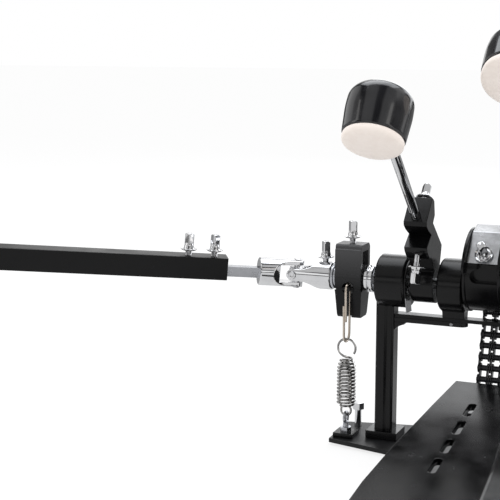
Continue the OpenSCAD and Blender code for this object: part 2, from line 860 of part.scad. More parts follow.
module chain_run() {
    color("black") at_axle()
        for (k = [1 : run_links])
            chain_link(-k);
}

// ---------- footboard ----------

module board_frame() {
    translate([0, hinge_y, hinge_z]) rotate([board_rise, 0, 0]) children();
}

module board_outline() {
    polygon([[-heel_w / 2, -4], [-heel_w / 2, 40], [-heel_w / 2 + 3, 90], [-toe_w / 2 - 6, 180], [-toe_w / 2, board_len],
        [toe_w / 2, board_len], [toe_w / 2 + 6, 180],
        [heel_w / 2 - 3, 90], [heel_w / 2, 40], [heel_w / 2, -4]]);
}

module footboard() {
    knuckle = heel_w - 28;
    color("black") board_frame() difference() {
        union() {
            difference() {
                translate([0, 0, 2.5]) linear_extrude(board_t) board_outline();
                for (x = [-52, 30])
                    translate([x, -12, -6]) cube([22, 22, 30]);
            }
            bar_x(-knuckle / 2, knuckle / 2, 6);
            for (x = [-30, 27])
                translate([x, 12, -3]) cube([3, 120, 6]);
        }
        bar_x(-60, 60, 3 + fit);
        for (y = [70 : 34 : 172])
            translate([-3, y, -10]) linear_extrude(30) union() {
                translate([0, 0]) square([6, 18]);
                translate([3, 0]) circle(3);
                translate([3, 18]) circle(3);
            }
    }
}

// The clevis at the toe that holds the chain's last pin
module toe_clevis() {
    c = toe_pin + [0, axle_z];
    color("silver") {
        difference() {
            union() {
                for (s = [-strand, strand])
                    along_x(s - 2.3, s + 2.3) union() {
                        translate(c) circle(4.6);
                        translate(c) rotate(180 + board_rise) translate([0, -3.4]) square([20, 6.8]);
                    }
                along_x(-14, 14) translate(c) rotate(180 + board_rise) translate([9, -3.4]) square([20, 3.4]);
                along_x(-14, 14) translate(c) rotate(180 + board_rise) translate([9, -1]) square([11, 4.4]);
            }
            translate([0, c[0], c[1]]) bar_x(-20, 20, pin_r + clevis_play);
            board_frame() translate([0, 0, 2.5]) linear_extrude(board_t) board_outline();
        }
    }
}

// ---------- link rings and springs ----------

module link_ring(x) {
    color("tan") translate([x, ring_y, ring_top]) wire_loop(ring_w, ring_len, ring_wire);
}

module left_link_ring() {
    link_ring(left_rocker_x);
}

module right_link_ring() {
    link_ring(right_rocker_x);
}

// The spring as a hollow barrel with its cone and end hooks
module spring(x) {
    top = ring_top - ring_len + ring_wire + spring_wire + 0.1;
    color("silver") translate([x, ring_y, 0]) {
        rotate_extrude() polygon([[0, spring_bottom], [8.5, spring_bottom], [8.5, spring_top - 14], [6, spring_top],
            [4, spring_top], [6.4, spring_top - 14], [6.4, spring_bottom + spring_wire], [0, spring_bottom + spring_wire]]);
        translate([0, 0, spring_top - 3]) rotate([90, 0, 0]) cylinder(h = 4, r = 6, center = true);
        translate([0, 0, top - hook_r - spring_wire / 2]) rotate([90, 0, 0])
            rotate_extrude() translate([hook_r, 0]) circle(spring_wire / 2);
        translate([0, 0, spring_bottom - 3]) rotate([90, 0, 0])
            rotate_extrude() translate([4.5, 0]) circle(spring_wire / 2);
    }
}

module left_spring() {
    spring(left_rocker_x);
}

module right_spring() {
    spring(right_rocker_x);
}

base_plate();
grip_strips();
left_post();
right_post();
crossbar();
centre_housing();
frame_screws();
axle_bearings();
bearing_caps();
hinge_pins();
heel_plate();
spring_brackets();
spring_adjusters();
clamp_bracket();
clamp_jaw();
jaw_pads();
clamp_wing_screw();
floor_spurs();
left_axle();
axle_yoke();
axle_washers();
left_key_bolts();
left_rocker();
left_rocker_pin();
left_collar();
left_beater_hub();
left_beater_rod();
left_beater_head();
left_beater_felt();
ujoint_cross();
shaft_yoke();
shaft_bar();
shaft_tube();
tube_key_bolts();
tube_yoke();
far_cross();
slave_yoke();
slave_key_bolt();
right_axle();
cam_wheel();
cam_plate();
cam_plate_screw();
chain_wrap();
chain_link_upper();
chain_link_lower();
chain_run();
right_key_bolts();
right_rocker();
right_rocker_pin();
right_collar();
right_beater_hub();
right_beater_rod();
right_beater_head();
right_beater_felt();
footboard();
toe_clevis();
left_link_ring();
left_spring();
right_link_ring();
right_spring();
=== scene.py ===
"""Looks of a double bass drum pedal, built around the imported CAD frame.

X runs to the drummer's right, Y towards the drum, Z up. Sizes are in millimetres until the
last step of each builder, which writes metres.
"""
import json
import math

import bmesh
import bpy
from mathutils import Matrix, Vector, noise

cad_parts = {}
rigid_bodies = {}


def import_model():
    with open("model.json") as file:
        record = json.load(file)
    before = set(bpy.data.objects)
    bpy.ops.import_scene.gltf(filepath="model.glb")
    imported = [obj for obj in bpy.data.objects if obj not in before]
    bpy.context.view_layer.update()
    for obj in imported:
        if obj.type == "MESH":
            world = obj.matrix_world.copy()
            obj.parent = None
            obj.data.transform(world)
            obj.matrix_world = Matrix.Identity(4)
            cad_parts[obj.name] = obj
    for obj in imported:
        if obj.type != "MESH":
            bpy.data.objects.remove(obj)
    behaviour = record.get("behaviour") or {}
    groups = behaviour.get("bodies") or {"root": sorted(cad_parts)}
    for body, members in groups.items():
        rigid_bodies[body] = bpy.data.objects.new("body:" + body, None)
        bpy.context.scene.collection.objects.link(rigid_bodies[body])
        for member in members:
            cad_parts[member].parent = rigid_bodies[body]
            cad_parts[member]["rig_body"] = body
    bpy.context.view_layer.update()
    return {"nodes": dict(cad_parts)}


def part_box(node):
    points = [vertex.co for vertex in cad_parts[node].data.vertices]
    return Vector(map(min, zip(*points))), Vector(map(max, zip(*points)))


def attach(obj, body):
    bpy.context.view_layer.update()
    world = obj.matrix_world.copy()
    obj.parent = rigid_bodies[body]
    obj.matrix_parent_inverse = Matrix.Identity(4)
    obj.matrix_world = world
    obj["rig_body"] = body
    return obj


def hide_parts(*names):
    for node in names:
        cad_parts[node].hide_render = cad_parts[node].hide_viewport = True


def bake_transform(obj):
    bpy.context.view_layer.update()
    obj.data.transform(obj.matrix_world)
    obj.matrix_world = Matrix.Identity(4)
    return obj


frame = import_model()
MM = 0.001

# ---------- the design's driving dimensions, in millimetres and degrees ----------

# Lean of each beater towards the drummer
LEFT_TILT = 48
RIGHT_TILT = 28
# The shaft's turn and rise, and the distance between its two universal joints
SHAFT_YAW = 32
SHAFT_RISE = 5
FAR_REACH = 413.3
# The square tube over the shaft's bar; its bolts are measured from the near joint
TUBE_W = 19.6
TUBE_LIFT = 2
TUBE_BOLTS = (75, 97.7)
BAR_W = 9
BAR_DROP = 0.8
# The yokes' radius; the axle yoke's bolt along X, and the slave yoke's from the far joint
YOKE_R = 12.3
YOKE_BOLT_X = -147.5
SLAVE_BOLT = 37
# Top of the rockers over the axle
ROCKER_TOP = 30.2
# The rod's offset from the axle, and the head's height on it, extra tilt, felt plane and radius
ROD_W = 22
HEAD_V = 204.5
HEAD_TURN = 8
HEAD_FRONT = -24
HEAD_R = 24
# The hub's bolts, as distances towards the drum and along the rod
ROD_BOLT_AT = (42.6, 58)
PINCH_AT = (0.5, 38.8)
PINCH_SLOPE = 25
# The clamp plate's lower edge and bend, as distances towards the drum and over the axle
PLATE_LOW = Vector((-39.5, 26.8))
PLATE_BEND = Vector((-19.5, 49.6))
# The plate's screw: its X, and its share of the way from the lower edge to the bend
CAM_SCREW = (0.2, 0.26)
# Lowest coil of the springs over the floor, and the studs under them
SPRING_BOTTOM = 32
STUD_R = 2.5
# The hoop clamp's wing screw
WING_SCREW_AT = (41, -10)
WING_SCREW_R = 3


def box_mm(node):
    """The lowest and highest corner of a CAD node, in millimetres."""
    low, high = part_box(node)
    return low / MM, high / MM


def centre_mm(node):
    low, high = box_mm(node)
    return (low + high) / 2


AXLE_Z = centre_mm("left_axle").z
ROCKER_X = {"left": centre_mm("left_rocker").x, "right": centre_mm("right_rocker").x}
HUB_X = {"left": centre_mm("left_beater_hub").x, "right": centre_mm("right_beater_hub").x}
TILT = {"left": LEFT_TILT, "right": RIGHT_TILT}
DRIVE = {"left": "left_drive", "right": "cam_drive"}
UJOINT = Vector((centre_mm("ujoint_cross").x, 0, AXLE_Z))

# ---------- frames of the sub-parts ----------


def move(x, y, z):
    return Matrix.Translation((x, y, z))


def turn(degrees, axis):
    return Matrix.Rotation(math.radians(degrees), 4, axis)


def hub_frame(side):
    """Z along the beater rod and Y towards the drum, from the axle."""
    return move(HUB_X[side], 0, AXLE_Z) @ turn(TILT[side], "X")


def head_frame(side):
    """The beater head's frame: its axis along Y, from the back of the felt."""
    return hub_frame(side) @ move(0, ROD_W, HEAD_V) @ turn(HEAD_TURN, "X") @ move(0, HEAD_FRONT, 0)


def shaft_frame():
    """The near universal joint, with the shaft running along -X."""
    return Matrix.Translation(UJOINT) @ turn(SHAFT_RISE, "Y") @ turn(SHAFT_YAW, "Z")


def slave_frame():
    """The far universal joint, level and square to the frame again."""
    return shaft_frame() @ move(-FAR_REACH, 0, 0) @ turn(-SHAFT_YAW, "Z") @ turn(-SHAFT_RISE, "Y")


def cam_screw_frame():
    """Z out of the clamp plate, at its screw."""
    rise = PLATE_BEND - PLATE_LOW
    at = PLATE_LOW + rise * CAM_SCREW[1]
    slope = math.degrees(math.atan2(rise.y, rise.x))
    return move(CAM_SCREW[0], at.x, AXLE_Z + at.y) @ turn(slope, "X")


# ---------- materials ----------


class Finish:
    """A procedural material, built from nodes around one Principled shader."""

    def __init__(self, name, metallic=0.0, coat=0.0, coat_rough=0.05, shine=0.5):
        self.material = bpy.data.materials.new(name)
        self.material.use_nodes = True
        self.tree = self.material.node_tree
        self.shader = self.tree.nodes["Principled BSDF"]
        self.shader.inputs["Metallic"].default_value = metallic
        self.shader.inputs["Specular IOR Level"].default_value = shine
        self.shader.inputs["Coat Weight"].default_value = coat
        self.shader.inputs["Coat Roughness"].default_value = coat_rough
        self.place = self.node("ShaderNodeTexCoord").outputs["Object"]
        self.relief = None

    def node(self, kind, **settings):
        made = self.tree.nodes.new(kind)
        for key, value in settings.items():
            setattr(made, key, value)
        return made

    def link(self, start, end):
        self.tree.links.new(start, end)

    def noise(self, scale, detail=3.0, rough=0.55, stretch=(1, 1, 1)):
        """A noise of a given number of features per metre, stretched along the axes."""
        mapping = self.node("ShaderNodeMapping")
        mapping.inputs["Scale"].default_value = stretch
        self.link(self.place, mapping.inputs["Vector"])
        made = self.node("ShaderNodeTexNoise")
        made.inputs["Scale"].default_value = scale
        made.inputs["Detail"].default_value = detail
        made.inputs["Roughness"].default_value = rough
        self.link(mapping.outputs["Vector"], made.inputs["Vector"])
        return made.outputs["Fac"]

    def spread(self, value, low, high, start=0.3, end=0.7):
        """Maps a noise value to the range from low to high."""
        made = self.node("ShaderNodeMapRange")
        for name, number in (("From Min", start), ("From Max", end), ("To Min", low), ("To Max", high)):
            made.inputs[name].default_value = number
        self.link(value, made.inputs["Value"])
        return made.outputs["Result"]

    def colour(self, value, low, high, start=0.3, end=0.7):
        """Mixes two colours by a noise value."""
        made = self.node("ShaderNodeValToRGB")
        made.color_ramp.elements[0].position = start
        made.color_ramp.elements[0].color = (*low, 1)
        made.color_ramp.elements[1].position = end
        made.color_ramp.elements[1].color = (*high, 1)
        self.link(value, made.inputs["Fac"])
        self.link(made.outputs["Color"], self.shader.inputs["Base Color"])

    def roughness(self, value, low, high):
        self.link(self.spread(value, low, high), self.shader.inputs["Roughness"])

    def bump(self, value, depth):
        """Adds relief of a given depth in millimetres to what is there already."""
        made = self.node("ShaderNodeBump")
        made.inputs["Strength"].default_value = 1.0
        made.inputs["Distance"].default_value = depth * MM
        self.link(value, made.inputs["Height"])
        if self.relief is not None:
            self.link(self.relief, made.inputs["Normal"])
        self.relief = made.outputs["Normal"]
        self.link(self.relief, self.shader.inputs["Normal"])


def powder_coat(name, low, high, rough, grain, depth, shine=0.5):
    """Black paint over metal: fine orange peel, with softer and glossier patches."""
    made = Finish(name, shine=shine)
    patches = made.noise(55, detail=4)
    made.colour(patches, (low, low, low * 1.15), (high, high, high * 1.15))
    made.roughness(patches, rough - 0.05, rough + 0.06)
    made.bump(made.noise(grain, detail=2), depth)
    return made.material


def plated(name, low, high, rough, drawn=(1, 1, 1), depth=0.0012):
    """Plated metal: smudges in its gloss and faint drawing lines."""
    made = Finish(name, metallic=1.0)
    smudge = made.noise(90, detail=5, rough=0.6)
    made.colour(smudge, low, high)
    made.roughness(smudge, rough * 0.75, rough * 1.5)
    made.bump(made.noise(1400, detail=2, stretch=drawn), depth)
    return made.material


def rocker_painted_highlight():
    """Black satin with a painted highlight: its colour lightens to grey from just under the axle to the
    rocker's top, standing in for a reflection.
    """
    black_below = (AXLE_Z - 8) * MM
    grey_above = (AXLE_Z + 23) * MM
    made = Finish("black_rocker_painted_highlight", shine=0.28)
    split = made.node("ShaderNodeSeparateXYZ")
    made.link(made.place, split.inputs["Vector"])
    height = made.spread(split.outputs["Z"], 0, 1, black_below, grey_above)
    # Painted highlight: black under the axle, grey towards the top, in place of a reflection of the lights
    made.colour(height, (0.001, 0.001, 0.0015), (0.052, 0.052, 0.054), 0, 1)
    made.roughness(made.noise(60), 0.24, 0.32)
    made.bump(made.noise(900, detail=2), 0.008)
    return made.material


def moulded_gloss():
    """Glossy black plastic of the beater heads."""
    made = Finish("gloss_black_plastic", coat=0.6, coat_rough=0.04)
    haze = made.noise(70, detail=4)
    made.colour(haze, (0.004, 0.004, 0.005), (0.009, 0.009, 0.011))
    made.roughness(haze, 0.16, 0.26)
    made.bump(made.noise(260, detail=1), 0.01)
    return made.material


def pressed_felt():
    """Warm white wool felt: matted fibres and faint clouds."""
    made = Finish("pressed_wool_felt")
    clouds = made.noise(120, detail=6, rough=0.7)
    made.colour(clouds, (0.8, 0.715, 0.655), (0.85, 0.775, 0.72))
    made.roughness(clouds, 0.9, 1.0)
    made.shader.inputs["Sheen Weight"].default_value = 0.35
    made.shader.inputs["Sheen Roughness"].default_value = 0.5
    made.bump(made.noise(1600, detail=5, rough=0.75), 0.07)
    made.bump(made.noise(4200, detail=3, rough=0.7), 0.04)
    return made.material


def soft_rubber():
    """Dusty black rubber of the floor strips and the jaw's pad."""
    made = Finish("soft_black_rubber")
    dust = made.noise(160, detail=5)
    made.colour(dust, (0.012, 0.012, 0.012), (0.028, 0.027, 0.026))
    made.roughness(dust, 0.72, 0.92)
    made.bump(made.noise(1500, detail=3), 0.05)
    return made.material


def oiled_chain():
    """Black oxide on steel with a film of oil."""
    made = Finish("oiled_black_chain", metallic=0.75)
    film = made.noise(260, detail=4)
    made.colour(film, (0.022, 0.022, 0.025), (0.05, 0.05, 0.055))
    made.roughness(film, 0.22, 0.42)
    made.bump(made.noise(1800, detail=2), 0.006)
    return made.material


FINISH = {
    "black_cast": powder_coat("satin_black_cast", 0.001, 0.003, 0.22, 900, 0.008, 0.3),
    "black_bar": powder_coat("smooth_black_bar", 0.0015, 0.003, 0.3, 1200, 0.005, 0.26),
    "black_sheet": powder_coat("textured_black_sheet", 0.003, 0.008, 0.42, 1500, 0.04, 0.35),
    "rubber": soft_rubber(),
    "chrome": plated("bright_chrome", (0.8, 0.805, 0.82), (0.88, 0.88, 0.89), 0.05),
    "bright_steel": plated(
        "brushed_bright_steel", (0.5, 0.51, 0.54), (0.6, 0.61, 0.64), 0.24, (1, 12, 12), 0.002),
    "black_chain": oiled_chain(),
    "gloss_head": moulded_gloss(),
    "felt": pressed_felt(),
    "nickel_wire": plated("warm_nickel_wire", (0.58, 0.5, 0.42), (0.74, 0.66, 0.57), 0.2),
    "spring_steel": plated("bright_spring_wire", (0.34, 0.335, 0.33), (0.5, 0.49, 0.48), 0.1),
}
# The rockers' material has a painted highlight, lighter grey over their upper part
ROCKER_LOOK = rocker_painted_highlight()
SCREW_LOOK = plated("dark_zinc_screws", (0.26, 0.26, 0.27), (0.36, 0.36, 0.37), 0.25)
PLATE_LOOK = plated("satin_clamp_plate", (0.55, 0.555, 0.57), (0.6, 0.605, 0.62), 0.2, (1, 8, 8), 0.0008)
LOOK = {
    "left_rocker": ROCKER_LOOK,
    "right_rocker": ROCKER_LOOK,
    "cam_plate": PLATE_LOOK,
    "frame_screws": SCREW_LOOK,
}
NODE_SLOT = {name: node.data.materials[0].name for name, node in frame["nodes"].items()}

# ---------- mesh building ----------

# A lathe's radius that counts as none, and the distance within which CAD corners are one
POINT_R = 1e-6
WELD = 1e-6
# CAD faces that are one face, and CAD edges that are rounded
FLAT_ANGLE = math.radians(0.4)
SHARP_ANGLE = math.radians(26)
BEVEL_STEPS = 2


def add_piece(name, bm, slot, body=None, replaces=(), crease=38, scale=MM, look=None):
    """Turns a mesh in millimetres into a piece that rides on a body and stands for some CAD nodes."""
    bmesh.ops.scale(bm, vec=(scale, scale, scale), verts=bm.verts)
    bmesh.ops.recalc_face_normals(bm, faces=bm.faces)
    for face in bm.faces:
        face.smooth = True
    for edge in bm.edges:
        edge.smooth = not edge.is_manifold or edge.calc_face_angle(0) < math.radians(crease)
    mesh = bpy.data.meshes.new(name)
    bm.to_mesh(mesh)
    bm.free()
    mesh.materials.append(look or FINISH[slot])
    obj = bpy.data.objects.new(name, mesh)
    bpy.context.scene.collection.objects.link(obj)
    weighted = obj.modifiers.new("weighted_normals", "WEIGHTED_NORMAL")
    weighted.keep_sharp = True
    if body:
        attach(obj, body)
    if replaces:
        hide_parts(*replaces)
    return obj


def sweep(bm, path, radius, sides):
    """A round wire along a list of points, with its rings turned as little as possible.

    radius is a function of a point's number in the list.
    """
    last = len(path) - 1
    rings = []
    normal = None
    for i, point in enumerate(path):
        ahead = (path[min(i + 1, last)] - path[max(i - 1, 0)]).normalized()
        if normal is None:
            normal = ahead.orthogonal().normalized()
        normal = (normal - ahead * normal.dot(ahead)).normalized()
        side = ahead.cross(normal)
        r = radius(i)
        rings.append([
            bm.verts.new(point + normal * (r * math.cos(a)) + side * (r * math.sin(a)))
            for a in (2 * math.pi * j / sides for j in range(sides))
        ])
    for low, high in zip(rings, rings[1:]):
        for j in range(sides):
            k = (j + 1) % sides
            bm.faces.new((low[j], low[k], high[k], high[j]))
    bm.faces.new(list(reversed(rings[0])))
    bm.faces.new(rings[-1])


def lathe(bm, profile, place, sides, radius=None):
    """Turns a profile of (radius, height) about Z. A radius of zero closes the end in a point.

    radius, if given, is a function of the profile's radius, the angle and the height.
    """
    rings = []
    for r, z in profile:
        ring = []
        if r <= POINT_R:
            ring.append(bm.verts.new(place @ Vector((0, 0, z))))
            rings.append(ring)
            continue
        for j in range(sides):
            a = 2 * math.pi * j / sides
            here = radius(r, a, z) if radius else r
            ring.append(bm.verts.new(place @ Vector((here * math.cos(a), here * math.sin(a), z))))
        rings.append(ring)
    for low, high in zip(rings, rings[1:]):
        for j in range(sides):
            k = (j + 1) % sides
            if len(low) == 1:
                bm.faces.new((low[0], high[k], high[j]))
            elif len(high) == 1:
                bm.faces.new((low[j], low[k], high[0]))
            else:
                bm.faces.new((low[j], low[k], high[k], high[j]))


def rounded(points, radius, steps=4):
    """The same outline with each inner corner turned into a small curve."""
    result = [points[0]]
    for before, corner, after in zip(points, points[1:], points[2:]):
        c = Vector(corner)
        to_a = Vector(before) - c
        to_b = Vector(after) - c
        reach = min(radius, to_a.length * 0.45, to_b.length * 0.45)
        a = c + to_a.normalized() * reach
        b = c + to_b.normalized() * reach
        for s in range(steps + 1):
            t = s / steps
            result.append(tuple(a * (1 - t) ** 2 + c * (2 * t * (1 - t)) + b * t ** 2))
    result.append(points[-1])
    return result


def arc(centre, u, v, radius, start, end, steps):
    """Points on a circle in the plane of u and v, from one angle to another in degrees."""
    return [
        centre + (u * math.cos(a) + v * math.sin(a)) * radius
        for a in (math.radians(start + (end - start) * i / steps) for i in range(steps + 1))
    ]


def finish_node(node, edge):
    """A copy of a CAD node with rounded edges, which stands for the node."""
    bm = bmesh.new()
    bm.from_mesh(frame["nodes"][node].data)
    bmesh.ops.remove_doubles(bm, verts=bm.verts, dist=WELD)
    bmesh.ops.dissolve_limit(
        bm, angle_limit=FLAT_ANGLE, verts=bm.verts, edges=bm.edges, use_dissolve_boundaries=False)
    sharp = [e for e in bm.edges if e.is_manifold and e.calc_face_angle(0) > SHARP_ANGLE]
    if edge > 0:
        bmesh.ops.bevel(
            bm, geom=sharp, offset=edge * MM, offset_type="OFFSET", segments=BEVEL_STEPS, profile=0.6,
            affect="EDGES", clamp_overlap=False, loop_slide=True)
    body = frame["nodes"][node]["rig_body"]
    return add_piece(node + "_finish", bm, NODE_SLOT[node], body, (node,), scale=1, look=LOOK.get(node))


# ---------- drum-key bolts ----------

THREAD_R = 2.9
THREAD_PITCH = 1.0
THREAD_DEPTH = 0.45
THREAD_RINGS = 8
HEAD_HALF = 3.0
HEAD_TALL = 13
HEAD_SHOULDER = 4.1
HEAD_TURNED = 38
BOLT_SIDES = 64
# Height over the flange and radius of the cone under the square head
CONE = ((0.4, 4.5), (1.0, 4.25), (2.4, 4.05), (3.4, 3.6), (5.2, 2.75))
# Radius and height of the flange, from its underside round its upturned rim to the cone's foot
FLANGE = (
    (4.7, 0), (6.2, 0.35), (6.95, 0.9), (7.3, 1.3), (7.15, 1.65),
    (6.6, 1.55), (5.6, 1.2), (5.0, 1.4), (4.6, 2.3),
)
FLANGE_TALL = 2


def thread_phase(angle, z):
    """How far a point is through one turn of the thread, from 0 to 1."""
    return (z / THREAD_PITCH - angle / (2 * math.pi)) % 1.0


def cone_at(height):
    """The cone's radius at a height over the flange, and none above it."""
    for (h0, r0), (h1, r1) in zip(CONE, CONE[1:]):
        if height <= h1:
            return r0 + (r1 - r0) * max(0, height - h0) / (h1 - h0)
    return 0


def key_bolt(bm, place, grip, exposed):
    """A square-head bolt: a cut thread, an upturned flange, and a cone that meets the square in arches."""
    place = place @ turn(HEAD_TURNED, "Z")
    base = exposed + FLANGE_TALL

    def thread(r, a, z):
        if z > exposed - 0.1 or z < -grip + 0.2:
            return r
        return THREAD_R - THREAD_DEPTH * abs(2 * thread_phase(a, z) - 1)

    def head(r, a, z):
        height = z - base
        if height < CONE[0][0]:
            return r
        square = HEAD_HALF / max(abs(math.cos(a)), abs(math.sin(a)))
        shoulder = HEAD_SHOULDER - max(0, height - HEAD_TALL + 1) * 0.95
        return max(cone_at(height), min(square, shoulder) * min(1, r))

    steps = int((exposed + grip) / (THREAD_PITCH / THREAD_RINGS))
    shank = [(0, -grip), (THREAD_R - THREAD_DEPTH, -grip)]
    shank += [(THREAD_R, -grip + (exposed + grip) * i / steps) for i in range(1, steps + 1)]
    lathe(bm, shank, place, BOLT_SIDES // 2, thread)

    heights = [CONE[0][0] + 0.2 * i for i in range(1, 27)]
    heights += [6 + i for i in range(6)]
    heights += [HEAD_TALL - left for left in (1.1, 0.8, 0.4, 0.1)]
    profile = [(THREAD_R - 0.2, exposed)]
    profile += [(r, exposed + z) for r, z in FLANGE]
    profile += [(1, base + height) for height in heights]
    profile += [(0.93, base + HEAD_TALL), (0, base + HEAD_TALL)]
    lathe(bm, profile, place, BOLT_SIDES, head)


def bolt_piece(name, body, node, bolts):
    """One piece of key bolts, each given as its place, its grip and its exposed length."""
    bm = bmesh.new()
    for place, grip, exposed in bolts:
        key_bolt(bm, place, grip, exposed)
    add_piece(name, bm, "chrome", body, (node,))


def drive_bolts(side):
    """The bolts for the rod, the hub's clamp and the rocker, and on the left the axle yoke's."""
    hub = hub_frame(side)
    bolts = [
        (hub @ move(0, *ROD_BOLT_AT) @ turn(-90, "X"), 8, 2.6),
        (hub @ move(0, *PINCH_AT) @ turn(90 + PINCH_SLOPE, "X"), 8, 7.3),
        (move(ROCKER_X[side], 0, AXLE_Z + ROCKER_TOP), 10, 4.4),
    ]
    if side == "left":
        bolts.append((move(YOKE_BOLT_X, 0, AXLE_Z + YOKE_R), 5, 3))
    return bolts


def make_key_bolts():
    for side in ("left", "right"):
        bolt_piece(f"{side}_square_bolts", DRIVE[side], f"{side}_key_bolts", drive_bolts(side))
    tube_top = TUBE_LIFT + TUBE_W / 2
    tube_grip = tube_top - BAR_W / 2 + BAR_DROP - 0.2
    tube_bolts = [(shaft_frame() @ move(-x, 0, tube_top), tube_grip, 4) for x in TUBE_BOLTS]
    bolt_piece("tube_square_bolts", "shaft_outer", "tube_key_bolts", tube_bolts)
    bolt_piece("cam_square_bolt", "cam_drive", "cam_plate_screw", [(cam_screw_frame(), 1.4, 0.6)])
    slave_bolt = slave_frame() @ move(-SLAVE_BOLT, 0, YOKE_R)
    bolt_piece("slave_square_bolt", "slave_end", "slave_key_bolt", [(slave_bolt, 5, 3)])


# ---------- link rings and springs ----------

RING_WIRE = 2.2
SPRING_WIRE = 2.0
COIL_R = 7.5
TOP_COIL_R = 4.6
COIL_PITCH = 3.1
TOP_CONE = 11
HOOK_R = 8
EYE_R = 4.5
RING_LAP = 7


def link_ring(side):
    """Bent wire whose two ends lie side by side along the front of the oval."""
    low, high = box_mm(f"{side}_link_ring")
    x, y = (low.x + high.x) / 2, (low.y + high.y) / 2
    r = (high.y - low.y - RING_WIRE) / 2
    top, bottom = high.z - RING_WIRE / 2 - r, low.z + RING_WIRE / 2 + r
    u, v = Vector((0, 1, 0)), Vector((0, 0, 1))
    middle = (top + bottom) / 2
    path = [Vector((x, y - r, middle + RING_LAP * (1 - i / 4))) for i in range(4)]
    path += [Vector((x, y - r, middle - (middle - bottom) * i / 6)) for i in range(0, 6)]
    path += arc(Vector((x, y, bottom)), u, v, r, 180, 360, 20)
    path += [Vector((x, y + r, bottom + (top - bottom) * i / 10)) for i in range(1, 10)]
    path += arc(Vector((x, y, top)), u, v, r, 0, 180, 20)
    path += [Vector((x, y - r, top - (top - middle + RING_LAP) * i / 8)) for i in range(1, 9)]
    last = len(path) - 1
    for i, point in enumerate(path):
        point.x += RING_WIRE * 0.42 * (2 * i / last - 1)
    bm = bmesh.new()
    sweep(bm, path, lambda i: RING_WIRE / 2 * (0.9 if i in (0, last) else 1), 14)
    add_piece(f"{side}_wire_link", bm, "nickel_wire", f"{side}_link", (f"{side}_link_ring",))


def spring_path(side):
    """From the lower hook up the coils and round the upper hook."""
    low, high = box_mm(f"{side}_spring")
    x, y = ROCKER_X[side], centre_mm(f"{side}_link_ring").y
    across, up = Vector((1, 0, 0)), Vector((0, 0, 1))
    hook = Vector((x, y, high.z - SPRING_WIRE / 2 - HOOK_R))
    eye = Vector((x, y, SPRING_BOTTOM - 3))
    coil_low = SPRING_BOTTOM + SPRING_WIRE / 2
    coil_high = hook.z - HOOK_R - SPRING_WIRE * 0.7
    path = arc(eye, across, up, EYE_R, 60, -200, 22)
    turns = (coil_high - coil_low) / COIL_PITCH
    steps = int(turns * 26)
    path.append(Vector((x - EYE_R, y, coil_low - 0.4)))
    for i in range(steps + 1):
        t = i / steps
        z = coil_low + (coil_high - coil_low) * t
        below_top = min(1, (coil_high - z) / TOP_CONE)
        r = TOP_COIL_R + (COIL_R - TOP_COIL_R) * math.sin(math.pi / 2 * below_top)
        r = r * min(1, 0.62 + t * turns * 0.5)
        a = math.pi + 2 * math.pi * turns * t
        path.append(Vector((x + r * math.cos(a), y + r * math.sin(a), z)))
    hook_points = arc(hook, across, up, HOOK_R, -110, -395, 34)
    path.append((path[-1] + hook_points[0]) / 2 + Vector((0, 0, -0.3)))
    return path + hook_points


def spring(side):
    """A coil spring that stretches between the frame and the link ring."""
    bm = bmesh.new()
    sweep(bm, spring_path(side), lambda i: SPRING_WIRE / 2, 9)
    piece = add_piece(f"{side}_coil_spring", bm, "spring_steel", None, (f"{side}_spring",))
    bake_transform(piece)


# ---------- beater heads ----------


def beater_head(side):
    """A barrel-shaped moulding."""
    place = head_frame(side) @ turn(-90, "X")
    r = HEAD_R
    outline = [
        (0, 0.3), (r - 0.8, 0.3), (r, 1.6), (r + 1.4, 22), (r + 0.9, 32), (r - 2, 37), (r - 7, 40), (0, 41),
    ]
    bm = bmesh.new()
    lathe(bm, rounded(outline, 4.5, 6), place, 72)
    add_piece(f"{side}_moulded_head", bm, "gloss_head", DRIVE[side], (f"{side}_beater_head",), crease=60)


def beater_felt(side):
    """The felt disc on the head's face, with a matted surface."""
    place = head_frame(side) @ turn(90, "X")
    r = HEAD_R - 0.7
    corners = [(0, 0), (r - 0.4, 0), (r, 0.8), (r, 3.2), (r - 0.8, 5.2), (r - 4, 6.6), (r - 12, 7.6), (0, 8)]
    outline = rounded(corners, 2, 4)
    profile = []
    for (r0, z0), (r1, z1) in zip(outline, outline[1:]):
        parts = max(1, int(math.hypot(r1 - r0, z1 - z0) / 0.8))
        profile += [(r0 + (r1 - r0) * i / parts, z0 + (z1 - z0) * i / parts) for i in range(parts)]
    profile.append(outline[-1])
    bm = bmesh.new()
    lathe(bm, profile, place, 120)
    bm.normal_update()
    for vert in bm.verts:
        coarse = noise.noise(vert.co * 0.35) * 0.12
        fine = noise.noise(vert.co * 1.6) * 0.06
        vert.co += vert.normal * (coarse + fine)
    add_piece(f"{side}_felt_disc", bm, "felt", DRIVE[side], (f"{side}_beater_felt",), crease=180)


# ---------- universal joint pins ----------


def pin_heads(name, place, body):
    """A domed rim and a dimple on each end of a joint's cross."""
    bm = bmesh.new()
    profile = rounded([(3.3, 12.4), (3.3, 12.75), (2.9, 13.0), (1.9, 13.0), (1.4, 12.7), (0, 12.6)], 0.3, 3)
    for quarter in range(4):
        lathe(bm, profile, place @ turn(90 * quarter, "X"), 32)
    add_piece(name, bm, "chrome", body)


def make_pin_heads():
    tilt = turn(SHAFT_RISE, "Y")
    far_joint = shaft_frame() @ Vector((-FAR_REACH, 0, 0))
    pin_heads("near_pin_heads", Matrix.Translation(UJOINT) @ tilt, "near_cross")
    pin_heads("far_pin_heads", Matrix.Translation(far_joint) @ tilt, "far_cross")


# ---------- threads of the spring adjusters and the wing screw ----------


